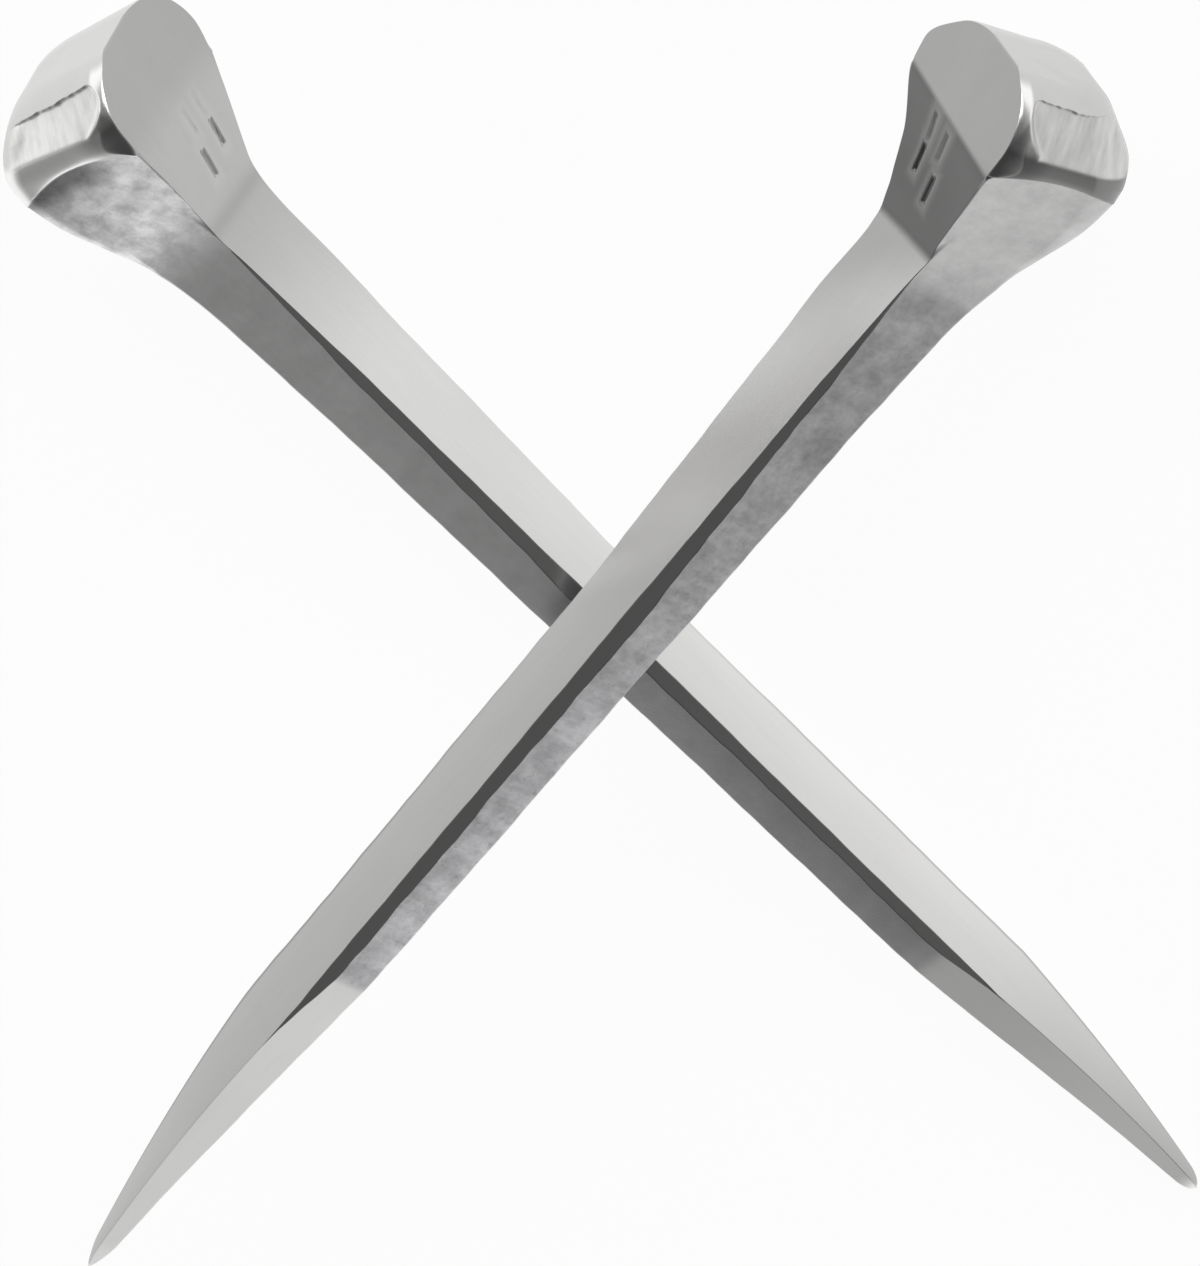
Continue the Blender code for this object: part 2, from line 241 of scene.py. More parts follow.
def soft_max(a, b, reach):
    """Larger of two values, rounded where they meet."""
    near = np.clip(reach - np.abs(a - b), 0.0, None) / reach
    return np.maximum(a, b) + 0.25 * reach * near * near


def soft_min(a, b, reach):
    """Smaller of two values, rounded where they meet."""
    return -soft_max(-a, -b, reach)


def smooth_path(at, places, values):
    """Smooth curve through a few values, without overshoot."""
    places = np.asarray(places, float)
    values = np.asarray(values, float)
    rates = np.diff(values) / np.diff(places)
    before = rates[:-1]
    after = rates[1:]
    even = before * after > 0.0
    inner = np.where(even, 2.0 * before * after / np.where(even, before + after, 1.0), 0.0)
    slopes = np.concatenate([rates[:1], inner, rates[-1:]])
    index = np.clip(np.searchsorted(places, at) - 1, 0, len(places) - 2)
    step = places[index + 1] - places[index]
    t = np.clip((at - places[index]) / step, 0.0, 1.0)
    rise = values[index + 1] - values[index]
    start = slopes[index] * step
    end = slopes[index + 1] * step
    bend = 3.0 * rise - 2.0 * start - end
    twist = start + end - 2.0 * rise
    return values[index] + t * (start + t * (bend + t * twist))


# Shank and point: what the rounded tip keeps, the shear's stretch, the back's line and uneven edges
NOSE_LEFT = 0.10
SHEAR_BAND = (12.8, 17.8)
POINT_POWER = 1.6
BEND_END = 13.0
BACK_HALFWAY = 0.075
BACK_STEP = (2.1, 0.60)
SWELL_SPAN = (49.2, 53.2, 54.5, 58.5)
SWELL_LOSS = 0.6
WAIST_SPAN = (47.5, 51.0, 53.5, 56.5)
BACK_WANDER_SPAN = (0.0, 6.0, 46.0, 51.0)
CHAMFER_WANDER = 1.5
CHAMFER_CALM = (44.0, 50.0)
EDGE_WAVES = ((0.41, 1.0, 0.3), (1.1, 0.8, 2.1), (2.3, 0.6, 4.4), (4.7, 0.5, 1.2))
LEAST_EDGE = (0.06, 0.03)
POINT_EDGE_END = (11.0, 14.0)
EDGE_SHARE = 0.4
HEEL_SHARE = 0.35
BACK_CHAMFER_RISE = 0.4

# Head: lean, flare, the lip's line, the crown's core, and how head and shank join
LEAN = radians(9.0)
FLARE = tan(radians(17.2))
SPLAY = 0.04
SADDLE_DEPTH = 1.25
RIDGE = 0.03
LIP_POWER = 0.6
CROWN_CORE = 1.10
CROWN_LEAD = 0.3
INSET_SPAN = (0.5, 0.3, 0.55)
SKEW_LEAD = 0.6
NECK_LEAD = 1.0
NECK_JOIN = 2.0
NECK_SOFT = 0.5
HEAD_JOIN = 0.5
SLOPE_MARGIN = 0.6
SLOPE_LEAD = (1.5, 1.0)

# Corners of the head: the front face's inset, then depths and widths of the front and back corners
EDGE_INSET = 0.008
FACE_SPAN = (2.2, 0.5)
FACE_SOFT = 0.3
CORNER_LIFTS = (0.5, -0.2, 0.45, 1.0)
CORNER_DEPTHS = (0.012, 0.012, 0.90, 0.58, 0.66)
CORNER_LEAST = 0.006
CORNER_POWER = 1.4
HEEL_SLOPE = (0.70, 0.42)
HEEL_LIP = (1.10, 0.65)
HEEL_CROWN = (1.55, 0.85)
DOME_LIFT = 1.2

# Sheared burr: its reach and foot, torn lines and wall, how it fades, and the far shoulder's own cut
BURR_REACH = 4.1
BURR_FOOT = 0.3
BURR_TEAR = 0.2
BURR_WALL = 0.9
BURR_FADE = (0.75, 0.45, 0.35)
BURR_CUT = (0.01, 0.05)
BURR_MASK = (0.05, 0.55)
TEAR_RATE = 2.0
TEAR_SHIFT = 2.0
TEAR_WAVES = ((2.3, 0.035, 0.4), (5.1, 0.027, 1.9), (9.7, 0.018, 4.0), (17.0, 0.012, 2.2))
NEAR_SOFT = 0.08
FAR_TOP = (2.98, 59.05)
FAR_RAKE = (0.58, 0.58)
FAR_SOFT = 0.30

# Punched bars: place across and along the slope and depth of each, half sizes, wall and worn ground
BAR_SPOTS = ((1.15, 0.05, 0.16), (-0.20, -0.42, 0.16), (1.05, 1.25, 0.07), (0.05, 1.15, 0.07))
BAR_SIZE = (0.075, 0.52)
BAR_WALL = 0.12
BAR_HALO = 0.55

# Finishes of the sides and the head, many of them painted light and shade: where each one rises or ends,
# and how far it changes the shade
FLARE_FADE = 1.7
LIP_FADE = (-0.03, 0.05)
CROWN_FADE = (-0.05, 0.30)
SIDE_RISE = (18.0, 46.0)
SIDE_PAINTED_SLANT = 0.28
PAINTED_SLANT_STOP = (26.0, 40.0)
FACET_RISE = (1.0, 11.0)
UNDER_LIP_SHADE_RISE = (55.6, 57.0)
UNDER_LIP_SHADE_END = (1.8, 3.8)
LIP_SHADOW = 0.45
SHADOW_RISE = (2.3, 3.5)
SHADOW_END = (58.2, 58.8)
STRIPE_FADE = 1.5
CORNER_FADE = 0.8
CROSSING_PATCH_SPAN = (24.0, 27.5, 32.5, 36.0)
CROSSING_SHADE_LOSS = 0.35
RIM_HIGHLIGHT_LEAST = 0.12
RIM_HIGHLIGHT_RISE = (58.2, 59.4)
RIM_HIGHLIGHT_FADE = 0.08
RIM_HIGHLIGHT_SPAN = (58.2, 58.7, 59.75, 59.95)
BRUSH_LOSS = 0.7
BRUSH_END = (30.0, 42.0)

# Finishes of the front, in the same way, most of them painted light and shade
TIP_RISE = (-2.0, 16.0)
NECK_RISE = (43.0, 52.0)
PAINTED_LIGHT_SLANT = 2.0
PAINTED_LIGHT_SPAN = (33.5, 38.5, 45.5, 51.5)
ACROSS_LIGHT_GAIN = 0.05
ACROSS_LIGHT_STOP = (33.0, 40.0)
FAR_EDGE_SHADE_LOSS = 0.32
FAR_EDGE_SHADE_RISE = (0.89, 0.97)
FAR_EDGE_SHADE_STOP = (18.0, 34.0)
SLOPE_FADE = 0.2
NECK_SHADE_WIDTH = 0.35

# Steps that settle where the leaning rows meet the front and the back
SETTLE_STEPS = 20


class NailForm:
    """Shape of one nail in millimetres: x across, y from the flat back to the front, z from the tip.

    In the head, level runs square to the leaning crown, and depth runs from the crown's back edge to the
    front. A span holds four places: where something starts, is full, still holds and has ended.
    """

    def __init__(self, sizes, look):
        for name in sizes.__annotations__:
            setattr(self, name, getattr(sizes, name) / MM)
        self.look = look
        self.neck = self.nail - self.head
        self.middle = 0.5 * (self.point + self.neck)
        self.slope_top = self.neck + self.slope
        self.lip = self.nail - self.shoulder
        self.widest = self.lip - self.lip_band
        depth = self.head_front - self.crown_back
        self.front_edge = self.crown_back + depth * cos(LEAN)
        self.front_drop = depth * sin(LEAN)

    def thick(self, z):
        """Thickness of the shank."""
        left = np.clip(1.0 - z / self.point, 0.0, 1.0)
        bowed = blend(self.point_thick, self.tip_thick, left * left)
        places = (self.point, self.middle, self.neck)
        swelling = np.interp(z, places, (self.point_thick, self.mid_thick, self.neck_thick))
        return np.where(z < self.point, bowed, swelling)

    def wander(self, z, turn):
        """Slow unevenness of a hammered edge."""
        return self.look.uneven * ripple(z, EDGE_WAVES, turn + self.look.near)

    @staticmethod
    def tear(place):
        """Ragged line of a torn edge."""
        return ripple(place, TEAR_WAVES)

    def nose(self, z):
        """Share of the section that the rounded tip keeps."""
        reach, power = self.look.nose
        left = np.clip(1.0 - z / reach, 0.0, 1.0)
        return blend(NOSE_LEFT, 1.0, (1.0 - left ** power) ** (1.0 / power))

    def leaning_front(self, z):
        """Front plane of the head."""
        return self.front_edge - (self.nail - self.front_drop - z) * tan(LEAN)

    def front(self, z):
        """Front of the nail: shank, stamped slope and leaning head face."""
        rise = (self.leaning_front(self.slope_top) - self.neck_thick) / self.slope
        sloped = self.neck_thick + rise * (z - self.neck)
        shank = self.thick(np.minimum(z, self.neck))
        face = np.where(z > self.neck, self.leaning_front(z), self.head_front)
        return soft_min(soft_max(shank, sloped, self.look.fold), face, self.look.brow[0])

    def back(self, z):
        """Back of the nail up to the lip."""
        start = self.neck - self.swell
        middle = 0.5 * (start + self.neck)
        step, step_depth = BACK_STEP
        places = (0.0, start, middle, self.neck, self.neck + step, self.slope_top, self.lip)
        depths = (0.0, 0.0, BACK_HALFWAY, self.neck_back, step_depth, self.slope_back, self.head_back)
        start, full, hold, end = SWELL_SPAN
        swell = ramp(z, start, full) * (1.0 - SWELL_LOSS * ramp(z, hold, end))
        depth = smooth_path(z, places, depths) + self.look.back_swell * swell
        return self.wander(z, 2.0) * band(z, *BACK_WANDER_SPAN) - depth

    def plain_width(self, z):
        """Half width of the shank before its point is sheared."""
        even = 0.5 * blend(self.point_width, self.neck_width, (z - self.point) / (self.neck - self.point))
        return even + self.wander(z, 0.0)

    def sheared_width(self, z):
        """Half width left by a shear cut at the point."""
        start = self.look.shear
        wide = blend(self.point_width, self.neck_width, (start - self.point) / (self.neck - self.point))
        return 0.5 * blend(self.look.tip, wide, z / start)

    def chamfer_sum(self, z):
        """Half width and depth summed along the front chamfer."""
        places = np.array((self.point, self.middle, self.neck - self.fade, self.neck))
        legs = (self.point_chamfer, self.chamfer, self.fade_chamfer, -self.look.run_out)
        sums = self.plain_width(places) + self.thick(places) - legs
        lean = (sums[1] - sums[0]) / (places[1] - places[0])
        path = np.where(z < places[0], sums[0] + lean * (z - places[0]), np.interp(z, places, sums))
        uneven = CHAMFER_WANDER * self.wander(z, 4.0)
        return path + uneven * (1.0 - ramp(z, *CHAMFER_CALM))

    def flank(self, level, depth):
        """Half width of the head's straight flared sides, which splay out behind."""
        plain = 0.5 * self.lip_width - FLARE * (self.lip - self.lip_height - level)
        behind = np.clip(SADDLE_DEPTH - depth, 0.0, None)
        return plain + SPLAY * behind ** 2 * ramp(level, self.neck, self.slope_top)

    def scoop_top(self, depth):
        """Level where the flared side ends under the lip, highest at mid depth."""
        return self.lip - self.lip_height - self.look.saddle * (depth - SADDLE_DEPTH) ** 2

    def shoulder_half(self, level, widest):
        """Half width of a shoulder that rounds over to the crown as an ellipse."""
        up = np.clip((level - self.widest) / (self.nail - self.widest), 0.0, 1.0)
        return CROWN_CORE + (widest - CROWN_CORE) * np.sqrt(1.0 - up * up)

    def head_half(self, level, depth):
        """Half width of the head: flared side, blunt lip and round shoulder."""
        scoop = self.scoop_top(depth)
        edge = self.flank(scoop, depth) + RIDGE
        up = np.clip((level - scoop) / (self.widest - scoop), 0.0, 1.0)
        widest = np.maximum(0.5 * self.head_width, edge)
        lip = blend(edge, widest, np.sin(0.5 * np.pi * up ** LIP_POWER))
        above = np.where(level < self.widest, lip, self.shoulder_half(level, widest))
        return np.where(level < scoop, self.flank(level, depth), above)

    def face_half(self, level, depth):
        """Half width of the front: just inside the flared edges, then round the shoulder."""
        before, after = FACE_SPAN
        grown = ramp(level, self.slope_top - before, self.slope_top + after)
        inset = blend(EDGE_INSET, self.face_inset, grown)
        shoulder = self.shoulder_half(level, 0.5 * self.face_width)
        return soft_min(self.flank(level, depth) - inset, shoulder, FACE_SOFT)

    def towards_back(self, depth):
        """Share of the way from the front of the head to the crown's back edge."""
        return np.clip(1.0 - depth / BURR_REACH, 0.0, 1.0)

    def burr(self, half, level, depth, top, rake, reach):
        """Shear the burr off a shoulder: a flat facet with a torn step above it."""
        look = self.look
        top_x, top_z = top
        foot = self.lip + BURR_FOOT
        up = np.clip((level - foot) / (top_z - foot), 0.0, 1.0)
        torn = TEAR_RATE * level
        back = blend(*look.burr_back, up) + BURR_TEAR * self.tear(torn)
        front = blend(*look.burr_front, up) + BURR_TEAR * self.tear(torn + TEAR_SHIFT)
        front = front + look.burr_bow * 4.0 * up * (1.0 - up)
        facet = top_x + (top_z - level) * blend(*rake, self.towards_back(depth))
        wall = top_x + (level - top_z - self.tear(depth)) * BURR_WALL
        before, after, beyond = BURR_FADE
        inside = band(depth, back - before, back + after, front, front + beyond)
        lowered = soft_min(half, np.maximum(facet, wall), reach)
        cut = ramp(half - lowered, *BURR_CUT) * (facet >= wall)
        return blend(half, lowered, inside), ramp(inside, *BURR_MASK) * cut

    def rows(self):
        """Height of each row where it passes the crown's back edge, and its tilt."""
        turn = np.linspace(0.0, 0.5 * np.pi, DOME_ROWS)
        low, high = SHEAR_BAND
        foot = self.neck - NECK_LEAD
        heights = np.concatenate([
            low * np.linspace(0.0, 1.0, POINT_ROWS, endpoint=False) ** POINT_POWER,
            np.linspace(low, high, SHEAR_ROWS, endpoint=False),
            np.linspace(high, foot, SHANK_ROWS, endpoint=False),
            np.linspace(foot, self.slope_top, NECK_ROWS, endpoint=False),
            np.linspace(self.slope_top, self.widest, LIP_ROWS, endpoint=False),
            self.widest + (self.nail - self.widest) * np.sin(turn),
        ])
        return heights, LEAN * ramp(heights, foot, self.slope_top)

    def build(self):
        """All rows of points, with the masks that tell the finishes apart."""
        heights, tilts = self.rows()
        start_y = self.crown_back + (heights - self.nail) * np.sin(tilts)
        start_z = self.nail + (heights - self.nail) * np.cos(tilts)
        low = np.zeros_like(heights)
        high = np.zeros_like(heights)
        for _ in range(SETTLE_STEPS):
            high = (self.front(start_z - high * np.sin(tilts)) - start_y) / np.cos(tilts)
            low = (self.back(start_z - low * np.sin(tilts)) - start_y) / np.cos(tilts)
        high, low = self.round_crown(heights, high, low)
        corner = self.corner_legs(heights, high)
        heel = self.heel_legs(heights)
        side = self.side_columns(heights, low, high, corner[0], heel[0])
        y = start_y[:, None] + side * np.cos(tilts)[:, None]
        z = start_z[:, None] - side * np.sin(tilts)[:, None]
        spots = (side, y, z, low, high, corner, heel)
        near = self.half_widths(*spots, self.look.burr_top, self.look.burr_rake, NEAR_SOFT)
        far = self.half_widths(*spots, FAR_TOP, FAR_RAKE, FAR_SOFT)
        pair = (near, far) if self.look.near > 0.0 else (far, near)
        nose = self.nose(heights)[:, None]
        middle = 0.5 * (low + high)[:, None]
        return self.assemble(tilts, start_y, start_z, middle + (side - middle) * nose, pair, nose)

    def round_crown(self, heights, high, low):
        """Round the crown's front rim and its back."""
        up = np.clip((heights - self.nail + self.rim) / self.rim, 0.0, 1.0)
        high = high - self.rim * (1.0 - np.sqrt(1.0 - up * up))
        start = self.lip - CROWN_LEAD
        base = np.interp(start, heights, low)
        up = np.clip((heights - start) / (self.nail - start), 0.0, 1.0)
        arch = base * np.sqrt(np.clip(1.0 - up ** self.look.arch, 0.0, 1.0))
        return high, np.where(heights > start, arch, low)

    def corner_legs(self, heights, high):
        """Depth and width of the head's front corner: crisp at the slope, broad at the lip, a rim above."""
        bases = (self.slope_top, self.widest, self.lip, self.lip)
        lifted = [base + lift for base, lift in zip(bases, CORNER_LIFTS)]
        places = (self.neck, *lifted, self.nail)
        deep = smooth_path(np.maximum(heights, self.neck), places, (*CORNER_DEPTHS, self.rim))
        wide = self.head_half(heights, high) - self.face_half(heights, high)
        return deep, np.clip(wide, CORNER_LEAST, None)

    def heel_legs(self, heights):
        """Depth and width of the rounded back corners, broadest at the crown."""
        places = (self.neck, self.slope_top, self.lip, self.lip + DOME_LIFT, self.nail)
        level = np.maximum(heights, self.neck)
        heel = self.look.heel
        legs = []
        for slope, lip, dome, crown in zip(
                HEEL_SLOPE, HEEL_LIP, self.look.dome_heel, HEEL_CROWN):
            sizes = (self.back_chamfer, slope * heel, lip * heel, dome, crown)
            legs.append(smooth_path(level, places, sizes))
        return legs

    def side_columns(self, heights, low, high, corner, heel):
        """Depth of each side column: back corner, side face and front corner."""
        z = np.minimum(heights, self.neck)
        wide = np.minimum(self.plain_width(z), self.sheared_width(z))
        leg = wide + self.thick(z) - self.chamfer_sum(z)
        least = blend(*LEAST_EDGE, ramp(heights, *POINT_EDGE_END))
        edge = np.where(heights < self.neck, np.maximum(leg, least), corner)
        edge = np.minimum(edge, EDGE_SHARE * (high - low))[:, None]
        heel = np.minimum(heel, HEEL_SHARE * (high - low))[:, None]
        bottom = low[:, None]
        top = high[:, None]
        stages = (
            bottom + heel * np.linspace(0.0, 1.0, HEEL_COLUMNS, endpoint=False),
            blend(bottom + heel, top - edge, np.linspace(0.0, 1.0, SIDE_COLUMNS, endpoint=False)),
            top - edge * np.linspace(1.0, 0.0, EDGE_COLUMNS),
        )
        return np.concatenate(stages, axis=1)

    def level(self, y, z):
        """Height measured square to the leaning head."""
        return self.nail + (z - self.nail) * cos(LEAN) + (y - self.crown_back) * sin(LEAN)

    def half_widths(self, side, y, z, low, high, corner, heel, top, rake, reach):
        """Half width at every side point, and where the burr was sheared."""
        up = np.minimum(z, self.neck)
        wide = np.minimum(self.plain_width(up), np.maximum(self.sheared_width(up), 0.5 * self.look.tip))
        back = self.back_chamfer * ramp(up, 0.0, BACK_CHAMFER_RISE * self.point)
        shank = np.minimum(np.minimum(wide, self.chamfer_sum(up) - y), wide - back + (y - self.back(up)))
        level = self.level(y, z)
        head, burr = self.burr(self.head_half(level, side), level, side, top, rake, reach)
        corner_deep, corner_wide = [leg[:, None] for leg in corner]
        heel_deep, heel_wide = [leg[:, None] for leg in heel]
        head = round_corner(head, high[:, None] - side, corner_deep, corner_wide, CORNER_POWER)
        head = round_corner(head, side - low[:, None], heel_deep, heel_wide, self.look.heel_power)
        joined = np.where(z < self.neck - NECK_JOIN, shank, soft_max(shank, head, NECK_SOFT))
        return np.where(z < self.slope_top - HEAD_JOIN, joined, head), burr

    def assemble(self, tilts, start_y, start_z, side, pair, nose):
        """Join back, side, front and other side into closed rows."""
        look = self.look
        (right, right_burr), (left, left_burr) = pair
        right = right * nose
        left = left * nose
        inner = np.linspace(0.0, 1.0, BACK_COLUMNS + 1)
        across = np.linspace(1.0, -1.0, FRONT_COLUMNS)
        across[0] = EDGE_GUARD
        across[-1] = -EDGE_GUARD
        half = 0.5 * (right + left)[:, -1:]
        x = np.concatenate([
            right[:, :1] * inner[:-1], right, 0.5 * (right - left)[:, -1:] + half * across,
            -left[:, ::-1], -left[:, :1] * inner[::-1][1:-1]], axis=1)
        low = np.repeat(side[:, :1], BACK_COLUMNS, axis=1)
        high = np.repeat(side[:, -1:], FRONT_COLUMNS, axis=1)
        depth = np.concatenate([low, side, high, side[:, ::-1], low[:, 1:]], axis=1)
        y = start_y[:, None] + depth * np.cos(tilts)[:, None]
        z = start_z[:, None] - depth * np.sin(tilts)[:, None]
        face = np.full(side.shape[1], SIDE)
        face[-EDGE_COLUMNS + 1:] = EDGE
        kind = np.concatenate([
            np.full(BACK_COLUMNS, BACK), face, np.full(FRONT_COLUMNS, FRONT),
            face[::-1], np.full(BACK_COLUMNS - 1, BACK)])
        kind = np.broadcast_to(kind, x.shape)
        burr = np.concatenate([
            np.zeros_like(low), right_burr, np.zeros_like(high),
            left_burr[:, ::-1], np.zeros_like(low[:, 1:])], axis=1)
        level = self.level(y, z)
        far = -look.near * x / half
        outer = (depth - low[:, :1]) / (high[:, :1] - low[:, :1])
        punched, halo = self.punched(-look.near * x, z)
        masks = self.finishes(kind, depth, outer, far, z, level, burr, halo, high[:, :1] - depth)
        x = x - look.near * self.far_shift(far, z, level)
        y = y - punched * (kind == FRONT) + self.slope_lift(z, far, outer)
        lead, trail, reach = INSET_SPAN
        set_in = ramp(level, self.lip + lead, self.nail - trail) * (1.0 - ramp(outer, 0.0, reach))
        y = y + look.crown_inset * set_in
        z = z - (look.skew * x + look.crown_drop) * ramp(level, self.lip - SKEW_LEAD, self.nail)
        return np.stack([x, y, z], axis=2), masks

    def far_shift(self, far, z, level):
        """How far the point bends towards the far side, and how the head's far side stands in or out."""
        bend = self.look.tip_bend * (1.0 - ramp(z, 0.0, BEND_END))
        waist = self.look.far_waist * band(level, *WAIST_SPAN)
        bulge = self.look.far_bulge * band(level, *self.look.bulge_span)
        return bend + (bulge - waist) * np.clip(far, 0.0, 1.0)

    def slope_shift(self, z, far):
        """How much lower the slope starts towards the far side."""
        shift = self.look.slope_skew * np.clip(0.5 + 0.5 * far, 0.0, 1.0)
        return shift * (1.0 - ramp(z, self.neck + SLOPE_MARGIN, self.slope_top - SLOPE_MARGIN))

    def slope_lift(self, z, far, outer):
        """How far the slope stands out where it starts lower on the far side."""
        raised = self.front(z + self.slope_shift(z, far)) - self.front(z)
        first, full = SLOPE_LEAD
        return outer * raised * ramp(z, self.neck - first, self.neck - full)

    def finishes(self, kind, depth, outer, far, z, level, burr, halo, rim):
        """Shade of every point, partly painted light and shade, and how much its surface is mottled,
        brushed, torn or dull.
        """
        look = self.look
        in_head = ramp(z, look.flare_start, look.flare_start + FLARE_FADE)
        soft = look.shear_soft
        sheared = ramp(self.plain_width(z) - self.sheared_width(z), -soft, soft) * (z < SHEAR_BAND[1])
        on_lip = ramp(level - self.scoop_top(depth), *LIP_FADE) * (z > self.slope_top)
        rise = blend(*look.lip_rise, self.towards_back(depth)) * (far < 0.0)
        start, full = CROWN_FADE
        on_crown = ramp(level - rise, self.lip + start, self.lip + full)
        shades = (
            blend(look.back, look.crown, on_crown),
            self.corner_shade(z, on_crown),
            self.side_shade(depth, outer, z, level, in_head, sheared, on_lip, on_crown),
            self.front_shade(far, z, halo),
        )
        dull = self.dull_and_shaded_patch(kind, far, z)
        # Painted shade darkens the dull patch beside the crossing
        shade = blend(np.choose(kind, shades), look.burr, burr) * (1.0 - CROSSING_SHADE_LOSS * dull)
        # Painted highlight along the near shoulder's front rim, left off the burr
        shade = blend(shade, 1.0, self.rim_highlighted(kind, far, level, rim) * (1.0 - burr))
        on_flank = (kind == SIDE) * (1.0 - on_lip) * (1.0 - on_crown)
        mottle = on_flank * blend(look.mottle * (1.0 - sheared), look.flank_mottle, in_head)
        fading = 1.0 - BRUSH_LOSS * ramp(z, *BRUSH_END)
        brush = on_flank * look.brush * (1.0 - in_head) * (1.0 - sheared) * fading
        return {"shade": shade, "mottle": mottle, "brush": brush, "burr": burr, "dull": dull}

    def side_shade(self, depth, outer, z, level, in_head, sheared, on_lip, on_crown):
        """Shade of the sides: shank, sheared point, flank with painted shade under the lip, lip and crown.
        """
        look = self.look
        # Painted light and shade: the shank's sides change brightness along the nail, and lower down are
        # darker towards the front corner and lighter towards the back
        shank = blend(look.side_low, look.side_top, ramp(z, *SIDE_RISE))
        shank = shank * (1.0 + SIDE_PAINTED_SLANT * (0.5 - outer) * (1.0 - ramp(z, *PAINTED_SLANT_STOP)))
        # Painted light and shade: the facet's brightness changes towards the tip
        facet = look.facet * blend(look.facet_tip, 1.0, ramp(z, *FACET_RISE))
        # Painted shade on the flank under the lip, towards the back
        bruise = ramp(level, *UNDER_LIP_SHADE_RISE) * (1.0 - ramp(depth, *UNDER_LIP_SHADE_END))
        flank = look.flank * (1.0 - look.bruise * bruise)
        sides = blend(blend(shank, facet, sheared), flank, in_head)
        sides = blend(blend(sides, look.lip, on_lip), look.crown, on_crown)
        shadow = on_lip * ramp(depth, *SHADOW_RISE) * (1.0 - ramp(level, *SHADOW_END))
        return sides * (1.0 - LIP_SHADOW * shadow)

    def corner_shade(self, z, on_crown):
        """Shade of the front corners: chamfer stripe, edges of the slope and of the head, crown's rim."""
        look = self.look
        corners = blend(look.stripe, look.slope, ramp(z, self.neck - STRIPE_FADE, self.neck))
        corners = blend(corners, look.corner, ramp(z, self.slope_top - CORNER_FADE, self.slope_top))
        return blend(corners, look.crown, on_crown)

    def front_shade(self, far, z, halo):
        """Shade of the drawn front, the stamped slope and the head's face."""
        look = self.look
        # Painted light and shade along the front: its brightness changes towards the tip and the neck
        front = look.front * blend(look.front_tip, 1.0, ramp(z, *TIP_RISE))
        front = front * blend(1.0, look.front_neck, ramp(z, *NECK_RISE))
        # Painted light: a brighter stretch of the upper nail's front above the crossing
        front = front * (1.0 + look.front_gain * band(z + PAINTED_LIGHT_SLANT * far, *PAINTED_LIGHT_SPAN))
        # Painted light and shade across the front: lighter towards the far side, darker towards the near
        # side, lower down the nail
        front = front * (1.0 + ACROSS_LIGHT_GAIN * far * (1.0 - ramp(z, *ACROSS_LIGHT_STOP)))
        # Painted shade: a dark line along the front's far edge, lower down the nail
        front = front * (1.0 - FAR_EDGE_SHADE_LOSS * ramp(far, *FAR_EDGE_SHADE_RISE) * (1.0 - ramp(z, *FAR_EDGE_SHADE_STOP)))
        slope = look.slope * (1.0 + look.halo * halo)
        start = z + self.slope_shift(z, far) - self.neck
        # Painted shade in the crease where the slope starts
        crease_shade = 1.0 - look.neck_band * np.exp(-(start / NECK_SHADE_WIDTH) ** 2)
        front = blend(front, slope, ramp(start, -SLOPE_FADE, SLOPE_FADE)) * crease_shade
        reach = look.brow[1]
        return blend(front, look.face, ramp(z, self.slope_top - reach, self.slope_top + reach))

    def dull_and_shaded_patch(self, kind, far, z):
        """Dull stretch of the hidden faces beside the crossing, darkened with painted shade."""
        hidden = (kind != FRONT) * np.maximum(far > 0.0, kind == BACK)
        return self.look.stain * band(z, *CROSSING_PATCH_SPAN) * hidden

    def rim_highlighted(self, kind, far, level, rim):
        """Painted highlight along the front rim of the near shoulder."""
        reach = blend(RIM_HIGHLIGHT_LEAST, self.look.polish, ramp(level, *RIM_HIGHLIGHT_RISE))
        fading = 1.0 - ramp(rim, reach - RIM_HIGHLIGHT_FADE, reach + RIM_HIGHLIGHT_FADE)
        return fading * (far < 0.0) * (kind != FRONT) * band(level, *RIM_HIGHLIGHT_SPAN)

    def punched(self, x, z):
        """Depth of the plain bars punched into the stamped slope, and the worn ground round them."""
        shift_x, shift_z = self.look.mark_shift
        centre = 0.5 * (self.neck + self.slope_top) + shift_z
        half_wide, half_tall = BAR_SIZE
        wall = BAR_WALL
        depth = np.zeros_like(x)
        halo = np.zeros_like(x)
        for bar_x, bar_z, deep in BAR_SPOTS:
            across = np.abs(x - bar_x - shift_x) - half_wide
            along = np.abs(z - centre - bar_z) - half_tall
            outside = np.maximum(across, along)
            depth = np.maximum(depth, deep * (1.0 - ramp(outside, -wall, wall)))
            halo = np.maximum(halo, band(outside, -wall, wall, wall, BAR_HALO))
        return depth, halo


def round_corner(half, gap, deep, wide, power):
    """Ease a corner whose other face lies at gap 0, from a chamfer at power 1 to a round at 2."""
    inside = np.clip(1.0 - gap / deep, 0.0, 1.0)
    return half - wide * (1.0 - (1.0 - inside ** power) ** (1.0 / power))


def cap_rows(loop, centre, count):
    """Rows that shrink a closed loop to its centre."""
    shares = np.linspace(0.0, 1.0, count + 1)[1:-1]
    return np.stack([blend(loop, centre, share) for share in shares])


